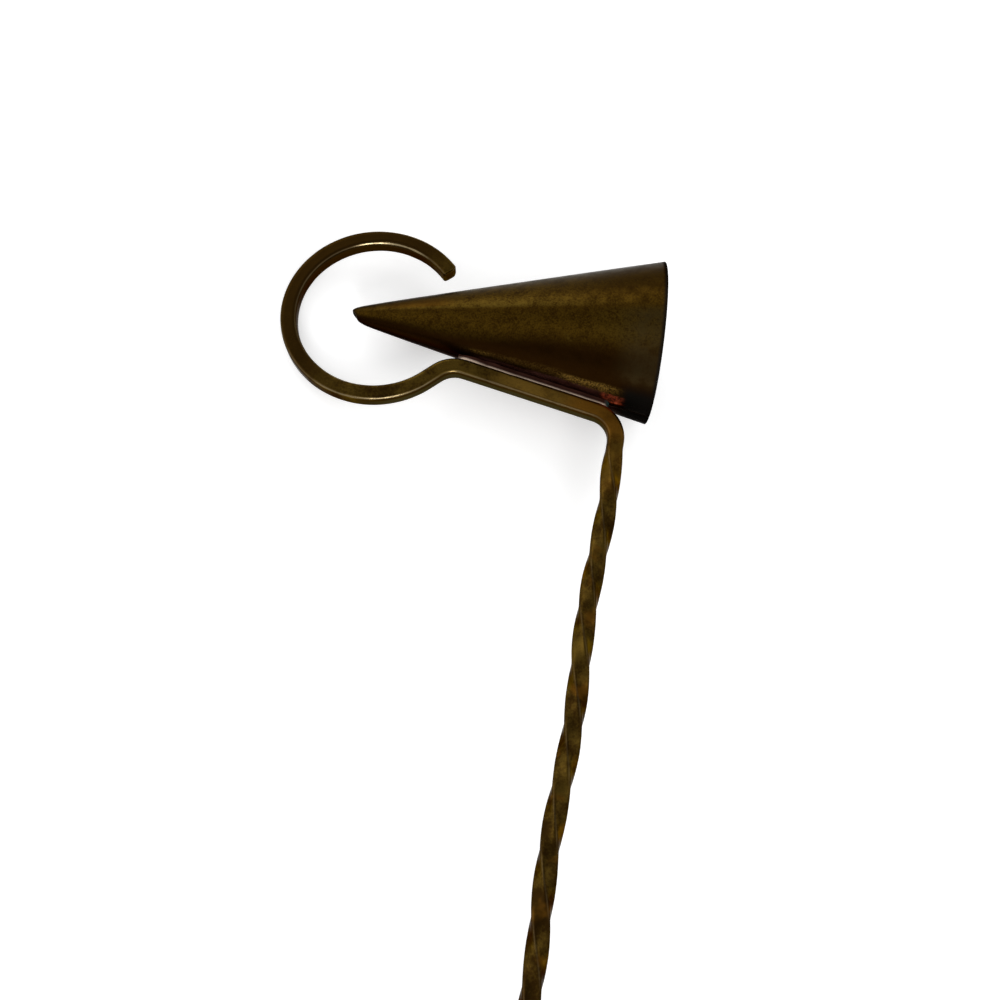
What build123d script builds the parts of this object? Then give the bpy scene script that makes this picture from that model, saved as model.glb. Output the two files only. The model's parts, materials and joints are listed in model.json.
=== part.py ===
from build123d import *
import os
from math import atan2, cos, degrees, radians, sin

# A brass candle snuffer, lying on a table as it comes to rest: a cone rolled from sheet, brazed by its side
# onto one square bar that is bent into an open hook and twisted into the handle.
# Lengths are in mm and angles in degrees.

# Square bar: bend radii run to the middle of the bar
BAR = 3.2
BAR_CHAMFER = 0.4
HOOK_RADIUS = 17.2
HOOK_TURN = 272.3
LEAD_LENGTH = 2.8
REVERSE_RADIUS = 5.7
REVERSE_TURN = 54.9
SEAT_LENGTH = 26.5
BEND_RADIUS = 5.6
BEND_TURN = 80.7
END_ROUND = 0.35

# Straight shank: plain below the bend, left-hand twist, plain again at the end
SHANK_LENGTH = 230.0
PLAIN_TOP = 1.725
PLAIN_END = 31.15
TWIST_PITCH = 41.5

# Cone: its length runs from the mouth to the point where the straight sides would meet,
# and its tip stands clear of the hook's back
MOUTH_RADIUS = 15.8
CONE_LENGTH = 65.9
SHEET = 0.8
TIP_CLEARANCE = 11.3
TIP_CUT = 6.85
TIP_SLANT = 35.0
TIP_ROUND = 0.5

# Filler: in the cone's seam and tip, and between the cone and the bar
SEAM_GAP = 0.5
TIP_PLUG_DEPTH = 2.5
BRAZE_LAYER = 0.8
BRAZE_SPREAD = 0.7
BRAZE_RUNOUT = 1.0

# Steps in which the lying position is found, and points taken along each edge that may touch the table
SETTLE_STEPS = 12
EDGE_POINTS = 720

# Largest rounding of a cut end, as a share of the bar's chamfer
CUT_ROUND_SHARE = 0.9

TWIST_LENGTH = SHANK_LENGTH - PLAIN_TOP - PLAIN_END
TWIST_ANGLE = 360 * TWIST_LENGTH / TWIST_PITCH
HALF_ANGLE = degrees(atan2(MOUTH_RADIUS, CONE_LENGTH))
INNER_OFFSET = SHEET / sin(radians(HALF_ANGLE))
BAR_FLAT = BAR / 2 - BAR_CHAMFER
CUT_ROUND = min(END_ROUND, CUT_ROUND_SHARE * BAR_CHAMFER)

# Middle line of the bar, in the plane XY: the shank comes up along +Y and its top is the origin
bend = JernArc((0, 0), (0, 1), BEND_RADIUS, BEND_TURN)
seat = PolarLine(bend @ 1, SEAT_LENGTH, direction=bend % 1)
reverse = JernArc(seat @ 1, seat % 1, REVERSE_RADIUS, REVERSE_TURN)
lead = PolarLine(reverse @ 1, LEAD_LENGTH, direction=reverse % 1)
hook = JernArc(lead @ 1, lead % 1, HOOK_RADIUS, -HOOK_TURN)

# The cone's side lies along the seat, one layer of filler above the bar, with its tip inside the hook
seat_place = Pos(seat @ 0) * Rot(0, 0, BEND_TURN - 90)
hook_middle = (seat_place.inverse() * Pos(hook.arc_center)).position.X
tip_along = hook_middle - (HOOK_RADIUS - BAR / 2) + TIP_CLEARANCE
half_cos = cos(radians(HALF_ANGLE))
mouth_overhang = tip_along + CONE_LENGTH / half_cos - TIP_CUT * half_cos
rim_touch = seat_place * Pos(mouth_overhang, BAR / 2 + BRAZE_LAYER)
cone_place = rim_touch * Rot(0, 0, HALF_ANGLE) * Pos(-CONE_LENGTH, MOUTH_RADIUS)


def shank_section(depth, turn=0):
    """Square with chamfered corners across the shank, at a depth below its top and turned about it."""
    outline = chamfer(Rectangle(BAR, BAR).vertices(), BAR_CHAMFER)
    return Pos(0, -depth, 0) * Rot(0, turn, 0) * (Plane.XZ * outline)


def soften_end(bar, point):
    """Bar with the edges of its cut end nearest the point rounded."""
    cut_end = bar.faces().sort_by_distance(point)[0]
    return fillet(cut_end.edges(), CUT_ROUND)


def make_handle_bar():
    """Hook, seat and bend swept along the middle line, with the twisted shank joined on below."""
    down = Vector(0, -1, 0)
    bent = sweep(shank_section(0), Wire([bend, seat, reverse, lead, hook]))
    plain_top = extrude(shank_section(0), PLAIN_TOP, dir=down)
    start = shank_section(PLAIN_TOP).face()
    twist = Solid.extrude_linear_with_rotation(start, start.center(), down * TWIST_LENGTH, -TWIST_ANGLE)
    plain_end = extrude(shank_section(PLAIN_TOP + TWIST_LENGTH, TWIST_ANGLE), PLAIN_END, dir=down)
    bent = soften_end(bent, hook @ 1)
    plain_end = soften_end(plain_end, down * SHANK_LENGTH)
    return bent + plain_top + twist + plain_end


def solid_cone(apex):
    """Full cone that ends at the mouth, with its sides meeting on the X axis at apex."""
    radius = (CONE_LENGTH - apex) * MOUTH_RADIUS / CONE_LENGTH
    profile = make_face(Polyline((apex, 0), (CONE_LENGTH, 0), (CONE_LENGTH, radius), close=True))
    return revolve(profile, Axis.X)


def tip_plane(distance):
    """Slanted plane across the tip, leaning forward on the side away from the bar."""
    return Plane(origin=(distance, 0, 0), z_dir=(cos(radians(TIP_SLANT)), sin(radians(TIP_SLANT)), 0))


def make_cone_outside():
    """Outside of the cone as a solid, cut off on the slant at the tip with the cut edge rounded."""
    cone = split(solid_cone(0), bisect_by=tip_plane(TIP_CUT), keep=Keep.TOP)
    cut_face = cone.faces().filter_by(GeomType.PLANE).sort_by_distance((0, 0, 0))[0]
    return fillet(cut_face.edges(), TIP_ROUND)


def make_cone_pieces():
    """Rolled sheet with its open butt seam on the bar's side, the filler in that seam and in the tip."""
    outside = make_cone_outside()
    hollow = solid_cone(INNER_OFFSET)
    seam_box = Box(CONE_LENGTH, MOUTH_RADIUS, SEAM_GAP, align=(Align.MIN, Align.MAX, Align.CENTER))
    shell = outside - hollow
    sheet = shell - seam_box
    seam = shell & seam_box
    plug = split(hollow & outside, bisect_by=tip_plane(TIP_CUT + TIP_PLUG_DEPTH), keep=Keep.BOTTOM)
    return cone_place * sheet, cone_place * seam, cone_place * plug, cone_place * outside


def make_seat_braze(bar, cone_outside):
    """Layer of filler on the seat, spreading in hollow fillets from the bar's flat onto the cone."""
    fillet_radius = BRAZE_LAYER + BRAZE_SPREAD
    half_width = BAR_FLAT + fillet_radius
    section = Rectangle(2 * half_width, fillet_radius, align=(Align.CENTER, Align.MIN))
    section -= [Pos(side * half_width, 0) * Circle(fillet_radius) for side in (-1, 1)]
    section += Rectangle(2 * BAR_FLAT, BAR_CHAMFER, align=(Align.CENTER, Align.MAX))
    mouth_end = min(BRAZE_RUNOUT, mouth_overhang)
    across = Plane(origin=(mouth_end, BAR / 2, 0), x_dir=(0, 0, 1), z_dir=(-1, 0, 0))
    layer = seat_place * extrude(across * section, mouth_end + SEAT_LENGTH + BRAZE_RUNOUT)
    return (layer - bar - cone_outside).solids().sort_by(SortBy.VOLUME)[-1]


def table_plane():
    """Table that the cone's rim, the hook and the end of the shank touch, settled from a level start."""
    steps = [i / EDGE_POINTS for i in range(EDGE_POINTS)]
    around = [360 * t for t in steps]
    rim = [(cone_place * Rot(turn, 0, 0) * Pos(CONE_LENGTH, MOUTH_RADIUS, 0)).position for turn in around]
    outward = [(hook @ t - hook.arc_center).normalized() for t in steps]
    lower_edges = [(HOOK_RADIUS + BAR / 2, -BAR_FLAT), (HOOK_RADIUS + BAR_FLAT, -BAR / 2)]
    hook_edges = [out * radius + Vector(0, 0, z) for out in outward for radius, z in lower_edges]
    outer_hook = [hook.arc_center + point for point in hook_edges]
    end_corners = shank_section(SHANK_LENGTH - CUT_ROUND, TWIST_ANGLE).vertices()
    shank_end = [Vector(corner) for corner in end_corners]
    up = Vector(0, 0, 1)
    for _ in range(SETTLE_STEPS):
        touch = [min(points, key=up.dot) for points in (rim, outer_hook, shank_end)]
        up = (touch[2] - touch[1]).cross(touch[0] - touch[1]).normalized()
    return Plane(origin=touch[0], x_dir=Vector(0, 1, 0).cross(up), z_dir=up)


handle_bar = make_handle_bar()
snuffer_cone, seam_braze, tip_braze, cone_outside = make_cone_pieces()
seat_braze = make_seat_braze(handle_bar, cone_outside)

pieces = {
    "handle_bar": handle_bar,
    "snuffer_cone": snuffer_cone,
    "seam_braze": seam_braze,
    "tip_braze": tip_braze,
    "seat_braze": seat_braze,
}

# Laid on the table, with the origin under the middle of the whole
lay_down = table_plane().location.inverse()
lying = {name: lay_down * piece for name, piece in pieces.items()}
middle = Compound(list(lying.values())).bounding_box().center()

os.makedirs("parts", exist_ok=True)
for name, piece in lying.items():
    export_step(Pos(-middle.X, -middle.Y, 0) * piece, f"parts/{name}.step")
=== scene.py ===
"""Looks of an aged brass candle snuffer: a bent and twisted square bar, a rolled cone and its filler."""
import json
from math import asin, ceil, cos, degrees, exp, hypot, pi, radians, sin, sqrt, tan

import bmesh
import bpy
from bpy.props import FloatProperty, FloatVectorProperty, PointerProperty
from mathutils import Matrix, Vector, noise


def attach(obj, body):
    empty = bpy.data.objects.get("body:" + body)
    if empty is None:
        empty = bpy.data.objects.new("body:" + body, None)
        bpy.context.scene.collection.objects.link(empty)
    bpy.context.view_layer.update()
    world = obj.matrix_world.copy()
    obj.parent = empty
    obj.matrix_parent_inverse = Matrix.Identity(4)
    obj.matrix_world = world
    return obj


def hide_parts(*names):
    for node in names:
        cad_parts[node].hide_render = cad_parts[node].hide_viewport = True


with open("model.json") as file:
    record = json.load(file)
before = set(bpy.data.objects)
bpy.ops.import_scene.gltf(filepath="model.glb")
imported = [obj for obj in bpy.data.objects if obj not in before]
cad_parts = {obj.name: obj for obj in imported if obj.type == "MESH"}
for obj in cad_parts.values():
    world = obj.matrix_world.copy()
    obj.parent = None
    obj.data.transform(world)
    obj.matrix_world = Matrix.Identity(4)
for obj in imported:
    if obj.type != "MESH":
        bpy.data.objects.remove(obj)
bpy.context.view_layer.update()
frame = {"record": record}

bl_info = {
    "name": "Candle Snuffer",
    "version": (1, 0, 0),
    "blender": (4, 5, 0),
    "location": "View3D > Sidebar > Snuffer",
    "description": "Builds an aged brass candle snuffer round its frame",
    "category": "Object",
}

BODY = "root"
MOUNTS = {mount["name"]: mount for mount in frame["record"]["mounts"]}
MM = 0.001

# Fineness of the meshes: the step along the bar, and counts round and along the pieces
BAR_STEP = 0.6 * MM
ARRIS_STEPS = 6
FLAT_STEPS = 6
END_STEPS = 4
CONE_COLUMNS = 192
CONE_ROWS = 72
TIP_STEPS = 8
RIM_STEPS = 3
FILLER_STEPS = 110
MENISCUS_STEPS = 8
PLUG_COLUMNS = 48
PLUG_RINGS = 5

# Rounds in which the edge of the slanted tip is found, and the seat's place among the bar's runs
EDGE_ROUNDS = 6
SEAT_RUN = 2

# Hand work: the share of the unevenness that is everywhere, then the share, size and seed of each swell
EVEN_WEAR = 0.5
BAR_SWELLS = ((0.4, 7 * MM, 1.0), (0.25, 2.2 * MM, 2.0))
CONE_SWELLS = ((0.35, 16 * MM, 3.0), (0.15, 6 * MM, 4.0))

# Filing of the hook's end: the part of the half width where it starts, and its run in times its depth
FILED_FROM = 0.3
FILED_RUN = 4

# Turn round the cone, from the side away from the bar, at which the rim stands furthest forward,
# and the power with which that grows towards the rim
RIM_LEAN_TURN = radians(80)
RIM_LEAN_POWER = 6

# Filler in the seam and the tip: share, size and seed of the bead's swell, and how many times deeper
# the plug is hollow inside than it is domed outside
BEAD_SWELL = (0.5, 3 * MM, 5.0)
PLUG_HOLLOW = 3

# Filler on the seat: how many times longer it is drawn out at the hook's end than at the bend, its least
# width at each end, the swells of its edges, and each side with its seed
HOOK_END_DRAWN = 4.0
BEND_END_WIDTH = 0.15
HOOK_END_WIDTH = 0.6
BAR_EDGE_SWELL = 4 * MM
CONE_EDGE_SWELL = 2.5 * MM
FILLER_SIDES = ((1, 6.0), (-1, 8.0))

# Stronger painted highlight on the clean filler by the hook: its run in times the run-out, and how much
# higher up the fillet it reaches
HIGHLIGHT_RUN = 6
HIGHLIGHT_RISE = 0.25

# Stretches of the bar by distance from the end of the shank, in metres: start, end and soft edge
STAINED_SHANK = (0.07, 0.22, 0.04)
BELOW_BEND = (0.2215, 0.2325, 0.005)
ROUND_BEND = (0.2325, 0.241, 0.005)
NEAR_SEAT = (0.238, 0.278, 0.012)
CLEAN_SEAT = (0.243, 0.253, 0.008)
HOOK_BOTTOM = (0.274, 0.291, 0.006)
AGED_HOOK = (0.300, 0.346, 0.012)
HOOK_TOP = (0.336, 0.3445, 0.006)

# Stretches of the bar over which its look changes, from and to
DARKER_SHANK = (0.115, 0.215)
INTO_BEND = (0.228, 0.238)
INTO_SEAT = (0.232, 0.242)
SEAT_TO_HOOK = (0.264, 0.258)
HOOK_START = (0.262, 0.270)

# Sectors of the cone by turn from the side away from the bar, in degrees: start, end and soft edge
BACK_PATCHES = (-116, -64, 14)
# Sector of the painted shade line just below the reflection band
SHADE_LINE_SECTOR = (92, 94, 5)
MOUTH_GOLD = (98, 116, 8)
GREY_FILM = (100, 146, 10)

# Areas of the cone: a sector, and its stretch along the cone in metres
TIP_STAIN = ((66, 82, 6), (0.016, 0.023, 0.005))
NICK = ((118, 122, 3), (0.0296, 0.0298, 0.0006))
LOW_GOLD = ((158.5, 164.5, 3.5), (0.051, 0.0565, 0.005))
FAINT_GOLD = ((155, 162, 4), (0.032, 0.046, 0.005))
STREAK = ((156, 159, 2), (0.0312, 0.0335, 0.0015))
PLUM = ((167, 178, 4), (0.034, 0.054, 0.004))
RED = ((167, 174, 2.5), (0.0578, 0.0592, 0.0022))

# Metres along the cone that the nick moves for each degree round it
NICK_SLANT = 0.00016

# Depth of the fine relief in each finish
BAR_RELIEF = 0.03 * MM
CONE_RELIEF = 0.025 * MM
FILLER_RELIEF = 0.03 * MM

# Lamps: name, azimuth from +Y towards +X, elevation and width in degrees, and brightness
LAMPS = (
    ("back window", -42, 33, 30, 1.8),
    ("front key", 172, 28, 20, 12.0),
    ("left side", -95, 25, 30, 1.1),
    ("right side", 95, 40, 40, 0.5),
)

# Nearest distance that the camera sees
CLIP_START = 0.01


def length(name, millimetres, description):
    """Property for a length, given in millimetres."""
    return FloatProperty(
        name=name, description=description, default=millimetres * MM, precision=5,
        subtype="DISTANCE", unit="LENGTH",
    )


def angle(name, value, description):
    """Property for an angle, given in degrees."""
    return FloatProperty(
        name=name, description=description, default=radians(value), subtype="ANGLE", unit="ROTATION"
    )


def colour(name, value, description):
    """Property for a linear colour."""
    return FloatVectorProperty(
        name=name, description=description, default=value, size=3, min=0.0, max=1.0, subtype="COLOR"
    )


class SnufferBar(bpy.types.PropertyGroup):
    """Square bar of the hook, the seat and the handle."""

    width: length("Bar", 3.2, "Width of the square bar")
    arris: length("Arris", 0.7, "Radius of the bar's worn corners")
    end_round: length("End round", 0.35, "Rounding of the bar's two cut ends")
    end_pull: length("End pull", 0.4, "How far the outer corner of the hook's cut end is filed back")
    hook_radius: length("Hook radius", 17.2, "Radius of the hook to the middle of the bar")
    hook_turn: angle("Hook turn", 272.3, "Angle that the hook turns through")
    lead: length("Lead", 2.8, "Straight piece between the hook and the reverse bend")
    reverse_radius: length("Reverse radius", 5.7, "Radius of the reverse bend to the middle of the bar")
    reverse_turn: angle("Reverse turn", 54.9, "Angle of the reverse bend")
    seat: length("Seat", 26.5, "Straight piece that carries the cone")
    bend_radius: length("Bend radius", 5.6, "Radius of the handle's bend to the middle of the bar")
    bend_turn: angle("Bend turn", 80.7, "Angle of the handle's bend")
    shank: length("Shank", 230.0, "Length of the straight handle")
    plain_top: length("Plain top", 1.725, "Untwisted piece below the bend")
    plain_end: length("Plain end", 31.15, "Untwisted piece at the end of the handle")
    pitch: length("Twist pitch", 41.5, "Length of one full turn of the twist")
    rub: length("Rub", 0.18, "How far the hook's inner corner is worn flat at its top")
    rub_at: length("Rub place", 13.1, "Distance of the worn place from the hook's free end")
    rub_run: length("Rub length", 5.5, "Half of the length over which the corner is worn")
    wander: length("Wander", 0.33, "How far the twist winds off the handle's straight line")
    wander_run: length("Wander run", 10.0, "Length over which the wander grows and dies away")
    unevenness: length("Unevenness", 0.06, "Depth of the dents and waves left by hand work")


class SnufferCone(bpy.types.PropertyGroup):
    """Rolled cone, its mouth and its tip."""

    mouth_radius: length("Mouth radius", 15.8, "Outer radius of the mouth")
    full_length: length("Full length", 65.9, "Length from the mouth to the point where the sides would meet")
    sheet: length("Sheet", 0.8, "Thickness of the sheet")
    rim_round: length("Rim round", 0.16, "Rounding of the rim's two edges")
    rim_lean: length("Rim lean", 0.3, "How far the rim stands forward at its upper side")
    tip_cut: length("Tip cut", 6.85, "Distance of the cut tip from the point where the sides would meet")
    tip_slant: angle("Tip slant", 35.0, "Slant of the cut across the tip")
    tip_face_round: length("Tip face round", 0.6, "How far the rounding of the tip reaches onto its cut face")
    tip_side_round: length("Tip side round", 2.6, "How far the rounding of the tip reaches along the cone")
    tip_slim: length("Tip slimming", 0.28, "How much slimmer the hammered tip is than a true cone")
    tip_fade: length("Tip fade", 6.0, "Length over which the slimming fades out")
    seam_gap: length("Seam gap", 0.5, "Width of the butt seam")
    unevenness: length("Unevenness", 0.06, "Depth of the waves left by rolling")


class SnufferFiller(bpy.types.PropertyGroup):
    """Brazing filler in the seam, in the tip and on the seat."""

    layer: length("Layer", 0.8, "Thickness of filler between the bar and the cone")
    bar_half: length("Half width on bar", 1.3, "Half of the filler's width on the bar")
    cone_half: length("Half width on cone", 1.5, "Half of the filler's width on the cone")
    runout: length("Run-out", 1.0, "How far the filler runs past each end of the seat")
    wander: length("Wander", 0.2, "How unevenly the filler's edges run")
    # The pale part of the fillet is clean filler that also carries a painted highlight
    bright: FloatProperty(
        name="Bright part", description="Share of the fillet's height, from the bar up, that is still bright",
        default=0.37, min=0.0, max=1.0, subtype="FACTOR",
    )
    bright_fade: FloatProperty(
        name="Bright fade", description="Share of the fillet's height over which the brightness fades out",
        default=0.25, min=0.0, max=1.0, subtype="FACTOR",
    )
    highlight_shine: FloatProperty(
        name="Shine", description="Brightness of the fillet's bright part away from the hook",
        default=0.62, min=0.0, max=1.0, subtype="FACTOR",
    )
    sink: length("Sink", 0.04, "How far the filler reaches into what it wets")
    bead: length("Bead", 0.03, "How proud the filler stands in the cone's seam")
    dome: length("Dome", 0.16, "How far the filler bulges out of the cone's tip")
    plug_depth: length("Plug depth", 2.5, "Depth of the filler in the cone's tip")


class SnufferFinish(bpy.types.PropertyGroup):
    """Colours of the metal, of what has grown on it, and of painted light and shade."""

    bar_dark: colour("Bar, dark", (0.0245, 0.0117, 0.0021), "Old patina on the bar")
    bar_olive: colour("Bar, olive", (0.085, 0.051, 0.008), "Rubbed patina on the bar")
    bar_seat: colour("Bar, seat", (0.19, 0.108, 0.018), "Cleaner brass on the seat")
    bar_warm: colour("Bar, warm", (0.19, 0.08, 0.008), "Heat-browned brass round the bend")
    # Grey-green of the side away from the cone, darkened as painted shade
    bar_shaded_side: colour("Bar, side", (0.05, 0.042, 0.022), "Grey-green patina on the side away from the cone")
    bar_bare: colour("Bar, bare", (0.46, 0.36, 0.2), "Bare brass on the worn corners")
    bar_edge: colour("Bar, glancing", (0.45, 0.43, 0.4), "Tint of the bar at a grazing angle")
    cone_dark: colour("Cone, dark", (0.018, 0.008, 0.0009), "Brown oxide on the cone")
    cone_olive: colour("Cone, olive", (0.056, 0.03, 0.003), "Olive patina on the cone")
    # Rubbed brass on the cone, and the colour of the painted reflection band above its middle
    cone_gold_and_reflection: colour("Cone, gold", (0.055, 0.034, 0.005), "Rubbed brass on the cone")
    # Red-brown oxide on the cone's lower side, deepened by painted shade
    cone_brown_and_shade: colour("Cone, brown", (0.0125, 0.0046, 0.0007), "Red-brown oxide on the cone's lower side")
    cone_grey: colour("Cone, grey", (0.037, 0.025, 0.009), "Grey-brown film along the rim")
    cone_edge: colour("Cone, glancing", (0.6, 0.6, 0.58), "Tint of the cone at a grazing angle")
    # Grazing tint on the cone's lower side, dulled as painted shade
    lower_edge_shaded: colour("Cone, lower glancing", (0.42, 0.39, 0.38), "The same on the cone's lower side")
    # Rubbed specks above the end of the seat, brightened as a painted glint
    lower_gold_and_glint: colour("Cone, lower gold", (0.14, 0.08, 0.016), "Rubbed specks above the end of the seat")
    heat_red: colour("Heat red", (0.75, 0.16, 0.08), "Heat tint by the mouth")
    heat_orange: colour("Heat orange", (0.042, 0.0175, 0.0014), "Small brown-orange stain near the tip")
    heat_plum: colour("Heat plum", (0.1, 0.04, 0.034), "Purple oxide along the seat")
    soot: colour("Soot", (0.007, 0.006, 0.005), "Soot on the outside of the rim")
    soot_edge: colour("Soot, glancing", (0.3, 0.28, 0.27), "Tint of the soot at a grazing angle")
    lining: colour("Lining", (0.034, 0.026, 0.018), "Soot and wax inside the cone")
    # Clean pinkish silver filler, also the colour of the painted highlight along the seat
    filler_light_and_highlight: colour("Filler", (0.9, 0.7, 0.54), "Pinkish silver filler")
    filler_dull: colour("Filler, dull", (0.035, 0.013, 0.009), "Tarnished filler on the seat")
    filler_dark: colour("Filler, dark", (0.007, 0.0045, 0.0035), "Sooty filler in the seam and the tip")
    filler_edge: colour("Filler, glancing", (0.42, 0.4, 0.36), "Tint of the filler at a grazing angle")
    verdigris: colour("Verdigris", (0.02, 0.07, 0.064), "Green bloom at the end of the filler")


class SnufferStudio(bpy.types.PropertyGroup):
    """Camera, lamps and floor."""

    camera_place: FloatVectorProperty(
        name="Camera", description="Place of the camera", default=(-0.011654, 0.009551, 0.18206), size=3,
        subtype="TRANSLATION", unit="LENGTH", precision=5,
    )
    camera_view: FloatVectorProperty(
        name="View", description="Direction that the camera looks in",
        default=(0.121618, 0.37894, -0.917393), size=3, subtype="DIRECTION",
    )
    camera_up: FloatVectorProperty(
        name="Up", description="Direction that is up in the picture",
        default=(-0.23074, 0.909733, 0.345185), size=3, subtype="DIRECTION",
    )
    lens: FloatProperty(
        name="Lens", description="Focal length of the camera", default=36.758, subtype="DISTANCE_CAMERA"
    )
    floor_size: FloatProperty(
        name="Floor", description="Width of the floor", default=12.0, subtype="DISTANCE", unit="LENGTH"
    )
    floor_tint: colour("Floor tint", (0.86, 0.86, 0.86), "Colour of the floor")
    floor_glow: FloatProperty(
        name="Floor glow", description="Light that the floor adds where it is seen or mirrored",
        default=0.4, min=0.0, max=1.0, subtype="FACTOR",
    )


SETTINGS = {
    "snuffer_bar": SnufferBar,
    "snuffer_cone": SnufferCone,
    "snuffer_filler": SnufferFiller,
    "snuffer_finish": SnufferFinish,
    "snuffer_studio": SnufferStudio,
}


def place_matrix(origin, first, second, third):
    """Matrix of a place with these three axes."""
    return Matrix.Translation(origin) @ Matrix((first, second, third)).transposed().to_4x4()


def waves(point, size, seed):
    """Smooth uneven number from about -1 to 1, with swells of that size."""
    return noise.noise(point / size + Vector((seed, 2 * seed, 3 * seed)))


def hand_work(point, swells):
    """Share of the full unevenness at a point, from a few sizes of swell."""
    return max(0.0, sum((share * waves(point, size, seed) for share, size, seed in swells), EVEN_WEAR))


def leaning_curve(start, pull, end, steps):
    """Points from start to end on a curve that leans towards a third point."""
    shares = [i / steps for i in range(steps + 1)]
    return [start * (1 - t) ** 2 + pull * 2 * t * (1 - t) + end * t ** 2 for t in shares]


def bar_place():
    """Middle of the hook, with axes across the shank, along it and out of the bar's plane."""
    mount = MOUNTS["hanging_hook"]
    out = Vector(mount["axis"]).normalized()
    along = out.cross(Vector((1, 0, 0))).normalized()
    return place_matrix(Vector(mount["pos_m"]), along.cross(out), along, out)


def bar_legs(bar):
    """Straight and bent runs of the bar, from the end of the shank to the hook, as length and turn."""
    return [
        (bar.shank, 0.0),
        (bar.bend_radius * bar.bend_turn, bar.bend_turn),
        (bar.seat, 0.0),
        (bar.reverse_radius * bar.reverse_turn, bar.reverse_turn),
        (bar.lead, 0.0),
        (bar.hook_radius * bar.hook_turn, -bar.hook_turn),
    ]


def along_leg(start, heading, run, turn, distance):
    """Point and heading at a distance along a straight or evenly bent run."""
    if turn == 0.0:
        return start + Vector((cos(heading), sin(heading))) * distance, heading
    bend = turn / run
    now = heading + bend * distance
    return start + Vector((sin(now) - sin(heading), cos(heading) - cos(now))) / bend, now


def leg_starts(bar):
    """Point and heading at the start of each run of the bar, in its plane, from the middle of the hook."""
    point, heading, starts = Vector((0, 0)), pi / 2, []
    for run, turn in bar_legs(bar):
        starts.append((point, heading))
        point, heading = along_leg(point, heading, run, turn, run)
    hook_start, hook_heading = starts[-1]
    hook_middle = hook_start + Vector((sin(hook_heading), -cos(hook_heading))) * bar.hook_radius
    return [(point - hook_middle, heading) for point, heading in starts]


def bar_stations(bar):
    """Points along the bar's middle line, each with heading, twist and distance from the shank's end."""
    stations, distance = [], 0.0
    twisted = bar.shank - bar.plain_top - bar.plain_end
    for (run, turn), (start, heading) in zip(bar_legs(bar), leg_starts(bar)):
        steps = ceil(run / BAR_STEP)
        for i in range(1 if stations else 0, steps + 1):
            done = run * i / steps
            point, now = along_leg(start, heading, run, turn, done)
            depth = bar.shank - bar.plain_top - distance - done
            twist = 2 * pi * min(max(depth, 0.0), twisted) / bar.pitch
            stations.append((point, now, twist, distance + done))
        distance += run
    return stations


def bar_outline(bar):
    """Points round the bar's rounded section, each with its closeness to a corner from 0 to 1."""
    inner = bar.width / 2 - bar.arris
    fans = []
    for quarter in range(4):
        middle = pi / 4 + quarter * pi / 2
        centre = Vector((cos(middle), sin(middle))) * sqrt(2) * inner
        turns = [quarter * pi / 2 + i / ARRIS_STEPS * pi / 2 for i in range(ARRIS_STEPS + 1)]
        fans.append([centre + Vector((cos(turn), sin(turn))) * bar.arris for turn in turns])
    outline = []
    for fan, following in zip(fans, fans[1:] + fans[:1]):
        outline += [(point, 1 - abs(2 * i / ARRIS_STEPS - 1)) for i, point in enumerate(fan)]
        outline += [(fan[-1].lerp(following[0], i / FLAT_STEPS), 0.0) for i in range(1, FLAT_STEPS)]
    return outline


def bridge(builder, first, second):
    """Faces between two closed rings of as many vertices."""
    count = len(first)
    for i in range(count):
        builder.faces.new((first[i], first[(i + 1) % count], second[(i + 1) % count], second[i]))


def close_ring(builder, ring):
    """Closes a ring with a fan to its middle."""
    hub = builder.verts.new(sum((vert.co for vert in ring), Vector()) / len(ring))
    for layer in builder.verts.layers.float.values():
        hub[layer] = min(vert[layer] for vert in ring)
    for i, vert in enumerate(ring):
        builder.faces.new((vert, ring[(i + 1) % len(ring)], hub))


def skin(builder, rings):
    """Closed skin over a row of rings."""
    for near, far in zip(rings, rings[1:]):
        bridge(builder, near, far)
    close_ring(builder, rings[0])
    close_ring(builder, rings[-1])


def add_layers(builder, *names):
    """Numbers by these names that each vertex holds for its finish."""
    return [builder.verts.layers.float.new(name) for name in names]


def new_piece(name, builder, finish, node):
    """Object made from a bmesh, with its finish, riding on the frame in place of a node."""
    mesh = bpy.data.meshes.new(name)
    bmesh.ops.recalc_face_normals(builder, faces=builder.faces)
    builder.to_mesh(mesh)
    builder.free()
    mesh.shade_smooth()
    mesh.materials.append(finish)
    piece = bpy.data.objects.new(name, mesh)
    bpy.context.scene.collection.objects.link(piece)
    piece.modifiers.new("Even shading", "WEIGHTED_NORMAL").keep_sharp = True
    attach(piece, BODY)
    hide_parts(node)


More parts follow.
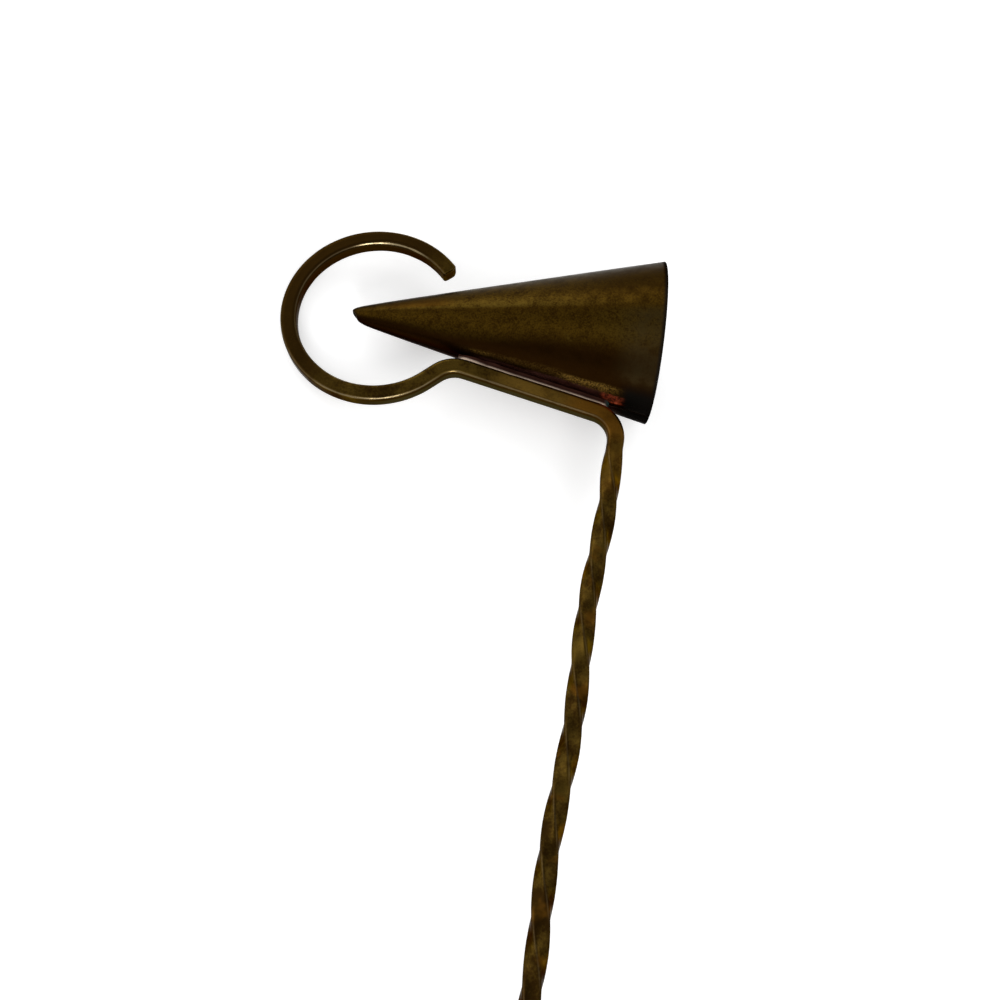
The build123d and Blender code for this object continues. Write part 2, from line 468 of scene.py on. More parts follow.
def build_bar(bar):
    """Bmesh of the whole bar. Each vertex holds how near a corner it is, how far along and where across."""
    builder = bmesh.new()
    layers = add_layers(builder, "arris", "along", "outer", "front")
    place, outline, stations = bar_place(), bar_outline(bar), bar_stations(bar)
    half = bar.width / 2
    whole = stations[-1][3]
    out = Vector((0, 0, 1))

    def section(station, inset=0.0, shift=0.0):
        """One ring round the bar, drawn in by an inset and shifted along the bar."""
        middle, heading, twist, distance = station
        ahead = Vector((cos(heading), sin(heading), 0))
        left = Vector((-sin(heading), cos(heading), 0))
        side = left * cos(twist) + out * sin(twist)
        face = out * cos(twist) - left * sin(twist)
        near_end = max(0.0, 1 - (whole - distance - shift) / (FILED_RUN * bar.end_pull))
        rub = bar.rub * max(0.0, 1 - ((whole - distance - bar.rub_at) / bar.rub_run) ** 2)
        in_twist = min(bar.shank - bar.plain_top - distance, distance - bar.plain_end) / bar.wander_run
        middle = middle.to_3d() + face * bar.wander * min(max(in_twist, 0.0), 1.0)
        ring = []
        for (a, b), corner in outline:
            offset = (side * a + face * b) * (1 - inset / half)
            filed = bar.end_pull * near_end * max(0.0, (a / half - FILED_FROM) / (1 - FILED_FROM)) ** 2
            point = middle + ahead * (shift - filed) + offset
            if a < 0 < b:
                point += (side - face) * rub * corner * (2 - corner) / sqrt(2)
            point -= offset.normalized() * bar.unevenness * hand_work(point, BAR_SWELLS)
            seated = place @ point
            seated.z = max(seated.z, 0.0)
            vert = builder.verts.new(seated)
            for layer, value in zip(layers, (corner, distance, a / half, b / half)):
                vert[layer] = value
            ring.append(vert)
        return ring

    turns = [pi / 2 * i / END_STEPS for i in range(END_STEPS + 1)]
    rounding = [(bar.end_round * (1 - sin(turn)), bar.end_round * (1 - cos(turn))) for turn in turns]
    rings = [section(stations[0], inset, shift) for inset, shift in rounding]
    inner = [station for station in stations if 2 * bar.end_round < station[3] < whole - 2 * bar.end_round]
    rings += [section(station) for station in inner]
    rings += [section(stations[-1], inset, -shift) for inset, shift in reversed(rounding)]
    skin(builder, rings)
    return builder


def cone_place(cone):
    """Point where the cone's sides would meet, with axes to the mouth, off the bar and out of its plane."""
    mount = MOUNTS["mouth_rim"]
    axis = Vector(mount["axis"]).normalized()
    away = bar_place().col[2].xyz.cross(axis).normalized()
    rim_middle = Vector(mount["pos_m"]) - away * (cone.mouth_radius - cone.sheet / 2)
    return place_matrix(rim_middle - axis * cone.full_length, axis, away, axis.cross(away))


def cone_slope(cone):
    """Radius that the cone gains for each unit of its length."""
    return cone.mouth_radius / cone.full_length


def outer_radius(cone, d):
    """Outer radius at a distance from the point where the sides would meet."""
    return d * cone_slope(cone) - cone.tip_slim * exp(-max(0.0, d - cone.tip_cut) / cone.tip_fade)


def inner_radius(cone, d):
    """Inner radius at a distance from the point where the sides would meet."""
    return outer_radius(cone, d) - cone.sheet * hypot(1.0, cone_slope(cone))


def tip_face(cone, radius, turn, depth=0.0):
    """Distance along the axis of the slanted face across the tip, or of one that depth behind it."""
    return cone.tip_cut + depth - radius * cos(turn) * tan(cone.tip_slant)


def tip_edge(cone, radius_at, turn, depth=0.0):
    """Distance and radius at which one of the cone's walls meets the slanted face."""
    d = cone.tip_cut + depth
    for _ in range(EDGE_ROUNDS):
        d = tip_face(cone, radius_at(cone, d), turn, depth)
    return d, radius_at(cone, d)


def cone_profile(cone, turn):
    """Closed outline of the sheet at one turn round the cone: distance, radius and 1 if it is inside."""
    edge_d, edge_r = tip_edge(cone, outer_radius, turn)
    face_r = edge_r - cone.tip_face_round
    face = Vector((tip_face(cone, face_r, turn), face_r))
    edge = Vector((edge_d, edge_r))
    side = Vector((edge_d + cone.tip_side_round, outer_radius(cone, edge_d + cone.tip_side_round)))
    profile = [(point.x, point.y, 0.0) for point in leaning_curve(face, edge, side, TIP_STEPS)]
    end, rounding = cone.full_length, cone.rim_round
    for i in range(1, CONE_ROWS + 1):
        d = side.x + (end - rounding - side.x) * i / CONE_ROWS
        profile.append((d, outer_radius(cone, d), 0.0))
    outer, inner = outer_radius(cone, end), inner_radius(cone, end)
    turns = [pi / 2 * i / RIM_STEPS for i in range(1, RIM_STEPS + 1)]
    profile += [(end - rounding * (1 - sin(t)), outer - rounding * (1 - cos(t)), 0.0) for t in turns]
    profile += [(end - rounding * (1 - cos(t)), inner + rounding * (1 - sin(t)), 1.0) for t in turns]
    hole_d, _ = tip_edge(cone, inner_radius, turn)
    for i in range(1, CONE_ROWS // 2 + 1):
        d = end - rounding + (hole_d - end + rounding) * i / (CONE_ROWS // 2)
        profile.append((d, inner_radius(cone, d), 1.0))
    return profile


def build_cone(cone):
    """Bmesh of the rolled sheet. Each vertex holds how far along it is, its turn and whether it is inside."""
    builder = bmesh.new()
    layers = add_layers(builder, "along", "around", "inside")
    place = cone_place(cone)
    columns = []
    for j in range(CONE_COLUMNS + 1):
        share = 2 * j / CONE_COLUMNS - 1
        column = []
        for d, radius, inside in cone_profile(cone, share * pi):
            turn = share * (pi - asin(min(1.0, cone.seam_gap / 2 / radius)))
            towards_lean = 0.5 + 0.5 * cos(turn - RIM_LEAN_TURN)
            lean = cone.rim_lean * towards_lean * (d / cone.full_length) ** RIM_LEAN_POWER
            point = Vector((d + lean, radius * cos(turn), radius * sin(turn)))
            point -= Vector((0, cos(turn), sin(turn))) * cone.unevenness * hand_work(point, CONE_SWELLS)
            vert = builder.verts.new(place @ point)
            for layer, value in zip(layers, (d, degrees(turn), inside)):
                vert[layer] = value
            column.append(vert)
        columns.append(column)
    for near, far in zip(columns, columns[1:]):
        bridge(builder, near, far)
    seam_sides = [builder.faces.new(columns[0]), builder.faces.new(columns[-1])]
    bmesh.ops.triangulate(builder, faces=seam_sides, ngon_method="EAR_CLIP")
    return builder


def build_seam_filler(cone, filler):
    """Bmesh of the bead that closes the cone's butt seam."""
    builder = bmesh.new()
    place = cone_place(cone)
    half = cone.seam_gap / 2 + filler.sink
    start = tip_edge(cone, outer_radius, pi)[0] + cone.tip_side_round / 2
    end = cone.full_length - cone.rim_round
    spread = [half * (2 * k / MENISCUS_STEPS - 1) for k in range(MENISCUS_STEPS + 1)]
    sunk = filler.sink + cone.unevenness / 2
    swell, size, seed = BEAD_SWELL
    rings = []
    for i in range(FILLER_STEPS + 1):
        d = start + (end - start) * i / FILLER_STEPS
        proud = filler.bead * (1 + swell * waves(Vector((d, 0, 0)), size, seed))
        crown = [proud * (1 - (z / half) ** 2) for z in spread]
        top = [(outer_radius(cone, d) - sunk + rise, z) for rise, z in zip(crown, spread)]
        under = [(inner_radius(cone, d) + sunk - rise, z) for rise, z in zip(crown, spread)]
        points = [Vector((d, -radius, z)) for radius, z in top + under[::-1]]
        rings.append([builder.verts.new(place @ point) for point in points])
    skin(builder, rings)
    return builder


def build_tip_filler(cone, filler):
    """Bmesh of the plug that closes the cone's tip, slightly domed outside and hollow inside."""
    builder = bmesh.new()
    place = cone_place(cone)

    def face_ring(part, depth, dome):
        """Ring across the plug at a part of its radius, on a face that depth behind the tip's."""
        ring = []
        for j in range(PLUG_COLUMNS):
            turn = 2 * pi * j / PLUG_COLUMNS
            radius = part * (tip_edge(cone, inner_radius, turn, depth)[1] + filler.sink)
            d = tip_face(cone, radius, turn, depth) - dome * (1 - part ** 2)
            ring.append(builder.verts.new(place @ Vector((d, radius * cos(turn), radius * sin(turn)))))
        return ring

    parts = [i / PLUG_RINGS for i in range(1, PLUG_RINGS + 1)]
    rings = [face_ring(part, 0.0, filler.dome) for part in parts]
    rings += [face_ring(part, filler.plug_depth, PLUG_HOLLOW * filler.dome) for part in reversed(parts)]
    skin(builder, rings)
    return builder


def seat_place(bar):
    """Bend's end of the seat, with axes along it to the mouth, towards the cone and out of the plane."""
    start, heading = leg_starts(bar)[SEAT_RUN]
    back = Vector((-cos(heading), -sin(heading), 0))
    out = Vector((0, 0, 1))
    return bar_place() @ place_matrix(start.to_3d(), back, out.cross(back), out)


def build_seat_filler(bar, cone, filler):
    """Bmesh of the filler on the seat, drawn up in hollow fillets between the bar and the cone.

    Each vertex holds how green it is, how pale it is, which also carries a painted highlight, and that it is
    clear of soot.
    """
    builder = bmesh.new()
    green_layer, pale_and_highlight_layer, clear_layer = add_layers(builder, "green", "pale", "clear")
    place = seat_place(bar)
    half = bar.width / 2
    slope = cone_slope(cone)
    rim_touch = place.inverted() @ cone_place(cone) @ Vector((cone.full_length, -cone.mouth_radius, 0))
    slant_length = cone.full_length * hypot(1.0, slope)
    mouth_end, hook_end = 2 * filler.runout, -bar.seat - 2 * filler.runout

    def bar_top(x, z):
        """Height of the bar's surface, falling away at its rounded edges and at the bends past the seat."""
        over_edge = max(0.0, abs(z) - half + bar.arris)
        past = max(x, -bar.seat - x, 0.0)
        radius = (bar.bend_radius if x > 0 else bar.reverse_radius) + half
        across = half - bar.arris + sqrt(bar.arris ** 2 - over_edge ** 2)
        return across - radius + sqrt(radius ** 2 - past ** 2)

    def cone_under(x, z):
        """Height of the cone's underside."""
        radius = (slant_length - rim_touch.x + x) * slope
        return half + filler.layer + radius - sqrt(radius ** 2 - z ** 2)

    def fillet(x, sign, on_bar, on_cone):
        """Hollow curve of one side of the filler, from the bar up to the cone."""
        low = Vector((sign * on_bar, bar_top(x, on_bar) - filler.sink))
        high = Vector((sign * on_cone, cone_under(x, on_cone) + filler.sink))
        hollow = Vector((sign * min(on_bar, on_cone), (low.y + high.y) / 2))
        return leaning_curve(low, hollow, high, MENISCUS_STEPS)

    up = [k / MENISCUS_STEPS for k in range(MENISCUS_STEPS + 1)]
    inner = up[1:-1]
    heights = up + [1.0] * len(inner) + up[::-1] + [0.0] * len(inner)
    rings = []
    for i in range(FILLER_STEPS + 1):
        x = mouth_end + (hook_end - mouth_end) * i / FILLER_STEPS
        to_end = min(mouth_end - x, (x - hook_end) / HOOK_END_DRAWN) / filler.runout
        least = BEND_END_WIDTH if x > 0 else HOOK_END_WIDTH
        taper = max(least, sqrt(max(0.0, 1 - max(0.0, 1 - to_end) ** 2)))
        spot = Vector((x, 0, 0))
        sides = []
        for sign, seed in FILLER_SIDES:
            on_bar = taper * (filler.bar_half + filler.wander * waves(spot, BAR_EDGE_SWELL, seed))
            on_cone = taper * (filler.cone_half + filler.wander * waves(spot, CONE_EDGE_SWELL, seed + 1))
            sides.append(fillet(x, sign, on_bar, on_cone))
        front, back = sides
        over = [front[-1].x + (back[-1].x - front[-1].x) * t for t in inner]
        under = [back[0].x + (front[0].x - back[0].x) * t for t in inner]
        points = front + [Vector((z, cone_under(x, z) + filler.sink)) for z in over]
        points += back[::-1] + [Vector((z, bar_top(x, z) - filler.sink)) for z in under]
        ring = [builder.verts.new(place @ Vector((x, y, z))) for z, y in points]
        # Painted highlight on the clean filler along the fillet, fading away from the hook
        from_hook = (x - hook_end) / filler.runout
        near_hook = max(0.0, 1 - from_hook / HIGHLIGHT_RUN)
        highlight_shine = min(from_hook, 1.0) * (filler.highlight_shine + (1 - filler.highlight_shine) * near_hook)
        bright = filler.bright + HIGHLIGHT_RISE * near_hook
        for vert, height in zip(ring, heights):
            vert[green_layer] = max(0.0, 1 + (x - mouth_end) / filler.runout)
            vert[clear_layer] = 1.0
            vert[pale_and_highlight_layer] = highlight_shine * min(max((bright - height) / filler.bright_fade, 0.0), 1.0)
        rings.append(ring)
    skin(builder, rings)
    return builder


class Wiring:
    """Node tree of one material, with short calls for the nodes that the finishes share."""

    def __init__(self, tree):
        self.tree = tree
        tree.nodes.clear()

    def node(self, kind, inputs=None, **settings):
        """New node with these settings, whose inputs take a value or another node's output."""
        node = self.tree.nodes.new(kind)
        for name, value in settings.items():
            setattr(node, name, value)
        for name, value in (inputs or {}).items():
            self.feed(node.inputs[name], value)
        return node

    def feed(self, socket, value):
        """Gives a socket a value, a colour or a link."""
        if isinstance(value, bpy.types.NodeSocket):
            self.tree.links.new(value, socket)
        elif socket.type == "RGBA":
            socket.default_value = (*value, 1.0)
        else:
            socket.default_value = value

    def math(self, operation, first, second=0.0):
        """Result of an operation on one or two numbers."""
        return self.node("ShaderNodeMath", {0: first, 1: second}, operation=operation).outputs[0]

    def plus(self, first, second):
        """Sum of two numbers."""
        return self.math("ADD", first, second)

    def minus(self, first, second):
        """First number less the second."""
        return self.math("SUBTRACT", first, second)

    def times(self, first, second):
        """Product of two numbers."""
        return self.math("MULTIPLY", first, second)

    def larger(self, first, second):
        """Larger of two numbers."""
        return self.math("MAXIMUM", first, second)

    def blend(self, share, first, second):
        """Colour between two colours."""
        return self.node("ShaderNodeMix", {0: share, 6: first, 7: second}, data_type="RGBA").outputs[2]

    def rise(self, value, low, high, bottom=0.0, top=1.0):
        """Smooth change from bottom to top as a value goes from low to high."""
        inputs = {"Value": value, "From Min": low, "From Max": high, "To Min": bottom, "To Max": top}
        return self.node("ShaderNodeMapRange", inputs, interpolation_type="SMOOTHSTEP").outputs[0]

    def within(self, value, low, high, soft):
        """One where a value lies between two limits, fading out over a soft edge outside them."""
        return self.times(self.rise(value, low - soft, low), self.rise(value, high + soft, high))

    def area(self, turn, along, limits):
        """One inside an area of the cone, fading out round it."""
        sector, stretch = limits
        return self.times(self.within(turn, *sector), self.within(along, *stretch))

    def attribute(self, name):
        """Number that the mesh holds at each vertex."""
        return self.node("ShaderNodeAttribute", attribute_name=name).outputs["Fac"]

    def grain(self, place, size, detail=3.0, roughness=0.55):
        """Cloudy number from 0 to 1 with spots of that size."""
        inputs = {"Vector": place, "Scale": 1 / size, "Detail": detail, "Roughness": roughness}
        return self.node("ShaderNodeTexNoise", inputs).outputs["Fac"]

    def place(self):
        """Place on the piece, in metres."""
        return self.node("ShaderNodeTexCoord").outputs["Object"]


def metal(name, wire_up):
    """Metal whose colour, tint at a grazing angle, roughness, metalness and relief come from wire_up."""
    material = bpy.data.materials.new(name)
    material.use_nodes = True
    w = Wiring(material.node_tree)
    tint, edge, roughness, metalness, height, depth = wire_up(w)
    bump = w.node("ShaderNodeBump", {"Height": height, "Strength": 1.0, "Distance": depth})
    surface = {
        "Base Color": tint,
        "Roughness": roughness,
        "Metallic": metalness,
        "Normal": bump.outputs[0],
        "Specular Tint": edge,
    }
    shader = w.node("ShaderNodeBsdfPrincipled", surface)
    w.node("ShaderNodeOutputMaterial", {"Surface": shader.outputs[0]})
    return material


def bar_finish(finish):
    """Old patina on the bar: dark on the hook, rubbed on the seat, browned at the bend, bare on corners, with
    painted shade on the seat's lower side and corners.
    """

    def wire_up(w):
        place, along, arris = w.place(), w.attribute("along"), w.attribute("arris")
        outer, front = w.attribute("outer"), w.attribute("front")
        cloud, blotch = w.grain(place, 9 * MM, 3.0), w.grain(place, 2.6 * MM, 4.0, 0.6)
        speck = w.grain(place, 0.4 * MM, 2.0)
        shade = w.plus(w.times(cloud, 0.9), w.times(blotch, 0.8))
        shade = w.plus(shade, w.times(speck, 0.4))
        shade = w.plus(shade, w.rise(along, *DARKER_SHANK, -0.24, 0.06))
        tint = w.blend(w.rise(shade, 0.85, 1.28), finish.bar_dark, finish.bar_olive)
        seat = w.times(w.within(along, *CLEAN_SEAT), w.rise(shade, 0.65, 1.15, 0.3, 0.95))
        tint = w.blend(seat, tint, finish.bar_seat)
        tint = w.blend(w.times(w.within(along, *AGED_HOOK), 0.95), tint, finish.bar_dark)

        # Brown from the heat round the bend, and in spots down the shank
        warm = w.larger(w.times(w.within(along, *BELOW_BEND), 0.25), w.within(along, *ROUND_BEND))
        warm = w.times(warm, w.rise(blotch, 0.3, 0.6, 0.6, 1.0))
        spots = w.rise(w.grain(place, 5 * MM, 3.0), 0.54, 0.7, 0.0, 0.45)
        warm = w.larger(warm, w.times(w.within(along, *STAINED_SHANK), spots))
        tint = w.blend(w.times(warm, 0.78), tint, finish.bar_warm)

        # Painted shade on the side below the seat and along its corners
        shaded_side = w.times(w.within(along, *NEAR_SEAT), w.rise(outer, 0.9, 0.97, 0.0, 0.9))
        tint = w.blend(shaded_side, tint, finish.bar_dark)
        tint = w.blend(w.times(shaded_side, w.rise(front, 0.6, 0.2)), tint, finish.bar_shaded_side)
        # Painted shade: the corners along the seat and into the bend are darkened
        shaded_corners = w.times(w.rise(along, *SEAT_TO_HOOK), w.rise(along, *INTO_BEND, 0.3, 0.78))
        tint = w.blend(w.times(w.rise(arris, 0.1, 0.6), shaded_corners), tint, finish.bar_dark)

        # Corners rubbed bare where the hook is handled, and a little along the seat
        worn = w.rise(w.plus(arris, w.times(blotch, 0.5)), 0.8, 1.25)
        handled = w.larger(w.times(w.within(along, *HOOK_BOTTOM), 0.47), w.within(along, *HOOK_TOP))
        ridges = w.plus(w.rise(along, *INTO_SEAT, 0.05, 0.25), w.rise(along, *HOOK_START, 0.0, -0.13))
        rubbed = w.times(worn, w.larger(handled, ridges))
        tint = w.blend(rubbed, tint, finish.bar_bare)
        roughness = w.minus(w.rise(blotch, 0.25, 0.75, 0.4, 0.26), w.times(rubbed, 0.06))
        height = w.plus(w.times(blotch, 0.7), w.times(speck, 0.3))
        return tint, finish.bar_edge, roughness, 1.0, height, BAR_RELIEF

    return metal("aged bar brass", wire_up)


def cone_finish(finish):
    """Mottled patina on the cone, with a painted reflection band above its middle, painted shade on its lower
    side and by the rim, a painted glint above the seat, heat tint and soot by the seat.
    """

    def wire_up(w):
        place, along = w.place(), w.attribute("along")
        signed, inside = w.attribute("around"), w.attribute("inside")
        cloud, blotch = w.grain(place, 12 * MM, 2.0), w.grain(place, 2.4 * MM, 5.0, 0.6)
        speck, fine = w.grain(place, 0.3 * MM, 2.0, 0.6), w.grain(place, 0.75 * MM, 3.0, 0.6)
        wobble = w.times(w.minus(cloud, 0.5), 8.0)
        turn = w.plus(w.math("ABSOLUTE", signed), wobble)
        front = w.plus(signed, wobble)
        grainy = w.plus(w.times(speck, 0.65), w.times(fine, 0.35))
        mixed = w.plus(grainy, w.times(w.minus(blotch, 0.5), 0.45))
        tint = w.blend(w.rise(mixed, 0.3, 0.7), finish.cone_dark, finish.cone_olive)

        # Painted reflection band on the front, partly rubbed brass, and rubbed patches on the back, weaker
        # towards the tip and the mouth
        reflection_band = w.times(w.rise(signed, 68, 91), w.rise(signed, 92, 90.5))
        patches = w.times(w.within(signed, *BACK_PATCHES), w.rise(cloud, 0.42, 0.62, 0.0, 0.7))
        # The rubbed share below also carries the painted reflection band
        rubbed = w.times(w.larger(reflection_band, patches), w.rise(along, 0.064, 0.034, 0.0, 1.0))
        rubbed = w.times(rubbed, w.rise(along, 0.014, 0.036, 0.4, 1.0))
        rubbed = w.times(rubbed, w.rise(mixed, 0.32, 0.62, 0.1, 1.0))
        tint = w.blend(rubbed, tint, finish.cone_gold_and_reflection)
        tint = w.blend(w.times(w.area(signed, along, TIP_STAIN), 0.6), tint, finish.heat_orange)
        # Painted shade: a thin dark line just below the reflection band, and the upper side darker by the
        # rim; the cone is also darker towards the tip
        shade_below_band = w.times(w.within(signed, *SHADE_LINE_SECTOR), 0.35)
        shade_by_rim = w.times(w.rise(turn, 96, 72), w.rise(along, 0.040, 0.060, 0.0, 0.65))
        tip = w.rise(along, 0.018, 0.008, 0.0, 0.45)
        tint = w.blend(w.larger(shade_below_band, w.larger(shade_by_rim, tip)), tint, finish.cone_dark)
        by_mouth = w.times(w.within(signed, *MOUTH_GOLD), w.rise(along, 0.050, 0.062, 0.0, 0.6))
        tint = w.blend(w.times(by_mouth, w.rise(mixed, 0.32, 0.62)), tint, finish.cone_gold_and_reflection)

        # Brown lower side, partly red-brown oxide and partly painted shade, whose border dips in the middle
        # of the cone, and a grey film along the rim
        dip = w.plus(w.rise(along, 0.028, 0.048, 0.0, 12.0), w.rise(along, 0.026, 0.010, 0.0, 9.0))
        tint = w.blend(w.rise(w.plus(turn, dip), 124, 146, 0.0, 0.96), tint, finish.cone_brown_and_shade)
        film = w.times(w.within(signed, *GREY_FILM), w.rise(along, 0.0565, 0.0625, 0.0, 0.6))
        tint = w.blend(w.times(film, w.rise(blotch, 0.35, 0.6, 0.4, 1.0)), tint, finish.cone_grey)

        # A slanting nick, and rubbed specks with a painted glint low down above the seat
        slanted = w.minus(along, w.times(signed, NICK_SLANT))
        nick = w.times(w.area(signed, slanted, NICK), w.rise(fine, 0.35, 0.6, 0.0, 0.6))
        tint = w.blend(nick, tint, finish.cone_gold_and_reflection)
        faint_glint = w.plus(w.area(turn, along, FAINT_GOLD), w.times(w.area(turn, along, STREAK), 2.0))
        specks_and_glint = w.larger(w.area(turn, along, LOW_GOLD), w.times(faint_glint, 0.16))
        tint = w.blend(w.times(specks_and_glint, w.rise(speck, 0.38, 0.62, 0.08, 1.0)), tint, finish.lower_gold_and_glint)

        # Heat tints along the seat, soot by the mouth, and the lining
        tint = w.blend(w.times(w.area(front, along, PLUM), 0.85), tint, finish.heat_plum)
        red = w.times(w.area(front, along, RED), w.rise(fine, 0.38, 0.62, 0.12, 1.0))
        tint = w.blend(red, tint, finish.heat_red)
        sooty = w.times(w.rise(turn, 148, 162), w.rise(along, 0.0588, 0.0615))
        sooty = w.larger(sooty, w.rise(along, 0.0650, 0.0656, 0.0, 0.85))
        tint = w.blend(sooty, tint, finish.soot)
        lined = w.times(inside, w.rise(blotch, 0.2, 0.6, 0.7, 1.0))
        tint = w.blend(lined, tint, finish.lining)

        soot = w.larger(sooty, inside)
        # Painted shade: the grazing tint is dulled on the lower side and towards the rim
        lower = w.larger(w.rise(turn, 120, 145), w.rise(along, 0.045, 0.062, 0.0, 0.25))
        edge = w.blend(lower, finish.cone_edge, finish.lower_edge_shaded)
        edge = w.blend(soot, edge, finish.soot_edge)
        roughness = w.plus(w.rise(blotch, 0.3, 0.7, 0.42, 0.3), w.times(soot, 0.2))
        metalness = w.rise(inside, 0.0, 1.0, 1.0, 0.2)
        height = w.plus(w.times(blotch, 0.4), w.times(grainy, 0.6))
        return tint, edge, roughness, metalness, height, CONE_RELIEF

    return metal("aged sheet brass", wire_up)


def filler_finish(finish):
    """Pinkish silver filler, clean along the bar with a painted highlight there, tarnished elsewhere, with a
    green bloom by the bend.
    """

    def wire_up(w):
        place = w.place()
        blotch, fine = w.grain(place, 3 * MM, 3.0), w.grain(place, 0.5 * MM, 3.0)
        clean = w.rise(w.plus(blotch, w.times(fine, 0.4)), 0.45, 0.85, 0.65, 1.0)
        tint = w.blend(w.attribute("clear"), finish.filler_dark, finish.filler_dull)
        tint = w.blend(w.times(w.attribute("pale"), clean), tint, finish.filler_light_and_highlight)
        bloom = w.times(w.attribute("green"), w.rise(fine, 0.3, 0.5))
        tint = w.blend(bloom, tint, finish.verdigris)
        roughness = w.rise(fine, 0.3, 0.7, 0.3, 0.48)
        metalness = w.minus(1.0, w.times(bloom, 0.9))
        return tint, finish.filler_edge, roughness, metalness, fine, FILLER_RELIEF

    return metal("brazing filler", wire_up)


def soft_lamp(name, azimuth, elevation, spread, brightness):
    """Lamp as wide as an angle of sky, of even brightness, at an azimuth and an elevation."""
    lamp = bpy.data.lights.new(name, "SUN")
    lamp.angle = radians(spread)
    lamp.energy = brightness * pi * sin(radians(spread) / 2) ** 2
    holder = bpy.data.objects.new(name, lamp)
    across, up = radians(azimuth), radians(elevation)
    towards = Vector((sin(across) * cos(up), cos(across) * cos(up), sin(up)))
    holder.rotation_mode = "QUATERNION"
    holder.rotation_quaternion = towards.to_track_quat("Z", "Y")
    holder.location = towards
    bpy.context.scene.collection.objects.link(holder)


def floor_finish(studio):
    """Matt pale floor that keeps the object's shadow, with a little glow where it is seen or mirrored."""
    material = bpy.data.materials.new("studio floor")
    material.use_nodes = True
    w = Wiring(material.node_tree)
    matt = w.node("ShaderNodeBsdfDiffuse", {"Color": studio.floor_tint})
    rays = w.node("ShaderNodeLightPath").outputs
    mirrored = w.larger(rays["Is Glossy Ray"], rays["Is Transmission Ray"])
    seen = w.larger(rays["Is Camera Ray"], mirrored)
    strength = w.times(seen, studio.floor_glow)
    glow = w.node("ShaderNodeEmission", {"Color": (1.0, 1.0, 1.0), "Strength": strength})
    both = w.node("ShaderNodeAddShader", {0: matt.outputs[0], 1: glow.outputs[0]})
    w.node("ShaderNodeOutputMaterial", {"Surface": both.outputs[0]})
    return material


def light_sky():
    """Soft sky round the studio: pale at the horizon, dim right overhead, low in front and to the right."""
    world = bpy.data.worlds.new("studio sky")
    bpy.context.scene.world = world
    world.use_nodes = True
    w = Wiring(world.node_tree)
    direction = w.node("ShaderNodeTexCoord").outputs["Generated"]

    def towards(axis):
        """How far a direction points along an axis, from -1 to 1."""
        share = w.node("ShaderNodeVectorMath", {0: direction, 1: axis}, operation="DOT_PRODUCT")
        return share.outputs["Value"]

    behind, overhead = towards((0.0, 0.5, 0.87)), towards((-0.2, 0.2, 0.96))
    up, right = towards((0.0, 0.0, 1.0)), towards((1.0, 0.0, 0.0))
    dome = w.times(w.rise(behind, -0.35, 0.4, 0.25, 1.0), w.rise(overhead, 0.77, 0.97, 1.0, 0.4))
    level = w.larger(dome, w.rise(up, 0.2, 0.05, 0.0, 0.95))
    level = w.times(level, w.rise(right, 0.15, 0.85, 1.0, 0.45))
    sky = w.node("ShaderNodeBackground", {"Color": (1.0, 1.0, 1.0), "Strength": level})
    w.node("ShaderNodeOutputWorld", {"Surface": sky.outputs[0]})


class SNUFFER_OT_handle_bar(bpy.types.Operator):
    """Bends and twists the square bar of the hook and the handle"""

    bl_idname = "snuffer.handle_bar"
    bl_label = "Handle Bar"

    def execute(self, context):
        scene = context.scene
        builder = build_bar(scene.snuffer_bar)
        finish = bar_finish(scene.snuffer_finish)
        new_piece("bent_bar", builder, finish, "handle_bar")
        return {"FINISHED"}


class SNUFFER_OT_cone(bpy.types.Operator):
    """Rolls the cone and cuts its tip on the slant"""

    bl_idname = "snuffer.cone"
    bl_label = "Cone"

    def execute(self, context):
        scene = context.scene
        builder = build_cone(scene.snuffer_cone)
        finish = cone_finish(scene.snuffer_finish)
        new_piece("rolled_cone", builder, finish, "snuffer_cone")
        return {"FINISHED"}


class SNUFFER_OT_filler(bpy.types.Operator):
    """Runs filler into the cone's seam, its tip and the seat"""

    bl_idname = "snuffer.filler"
    bl_label = "Brazing Filler"

    def execute(self, context):
        scene = context.scene
        bar, cone, filler = scene.snuffer_bar, scene.snuffer_cone, scene.snuffer_filler
        finish = filler_finish(scene.snuffer_finish)
        new_piece("seam_bead", build_seam_filler(cone, filler), finish, "seam_braze")
        new_piece("tip_plug", build_tip_filler(cone, filler), finish, "tip_braze")
        new_piece("seat_fillet", build_seat_filler(bar, cone, filler), finish, "seat_braze")
        return {"FINISHED"}


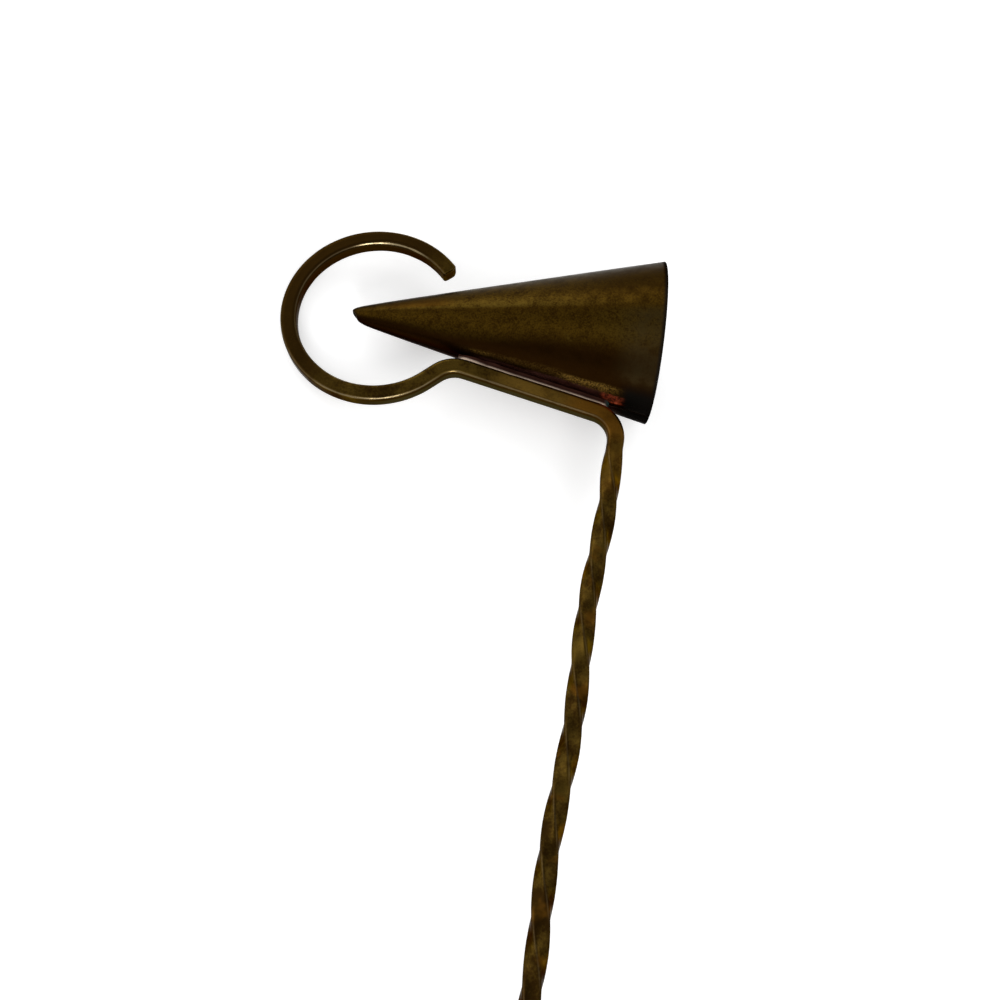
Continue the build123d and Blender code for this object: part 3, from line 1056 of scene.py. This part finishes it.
class SNUFFER_OT_stage(bpy.types.Operator):
    """Sets up the floor, the lamps and the camera"""

    bl_idname = "snuffer.stage"
    bl_label = "Stage"

    def execute(self, context):
        scene, studio = context.scene, context.scene.snuffer_studio
        scene.view_settings.view_transform = "Standard"
        half = studio.floor_size / 2
        corners = [(-half, -half, 0), (half, -half, 0), (half, half, 0), (-half, half, 0)]
        mesh = bpy.data.meshes.new("floor")
        mesh.from_pydata(corners, [], [(0, 1, 2, 3)])
        mesh.materials.append(floor_finish(studio))
        floor = bpy.data.objects.new("floor", mesh)
        scene.collection.objects.link(floor)
        light_sky()
        for lamp in LAMPS:
            soft_lamp(*lamp)
        camera = bpy.data.objects.new("camera", bpy.data.cameras.new("camera"))
        view = Vector(studio.camera_view).normalized()
        right = view.cross(Vector(studio.camera_up)).normalized()
        camera.matrix_world = place_matrix(Vector(studio.camera_place), right, right.cross(view), -view)
        camera.data.lens = studio.lens
        camera.data.clip_start = CLIP_START
        scene.collection.objects.link(camera)
        scene.camera = camera
        return {"FINISHED"}


class SNUFFER_PT_panel(bpy.types.Panel):
    """Sizes, finishes and steps of the candle snuffer"""

    bl_idname = "SNUFFER_PT_panel"
    bl_label = "Candle Snuffer"
    bl_space_type = "VIEW_3D"
    bl_region_type = "UI"
    bl_category = "Snuffer"

    def draw(self, context):
        for operator in OPERATORS:
            self.layout.operator(operator.bl_idname)
        for name, group in SETTINGS.items():
            box = self.layout.box()
            box.label(text=group.__doc__)
            for entry in group.__annotations__:
                box.prop(getattr(context.scene, name), entry)


OPERATORS = (SNUFFER_OT_handle_bar, SNUFFER_OT_cone, SNUFFER_OT_filler, SNUFFER_OT_stage)
CLASSES = (*SETTINGS.values(), *OPERATORS, SNUFFER_PT_panel)


def register():
    """Registers the classes and hangs their settings on the scene."""
    for entry in CLASSES:
        bpy.utils.register_class(entry)
    for name, group in SETTINGS.items():
        setattr(bpy.types.Scene, name, PointerProperty(type=group))


def unregister():
    """Takes the settings off the scene and unregisters the classes."""
    for name in SETTINGS:
        delattr(bpy.types.Scene, name)
    for entry in reversed(CLASSES):
        bpy.utils.unregister_class(entry)


def main():
    """Builds the pieces and the stage in order."""
    register()
    bpy.ops.snuffer.handle_bar()
    bpy.ops.snuffer.cone()
    bpy.ops.snuffer.filler()
    bpy.ops.snuffer.stage()


if __name__ == "__main__":
    main()
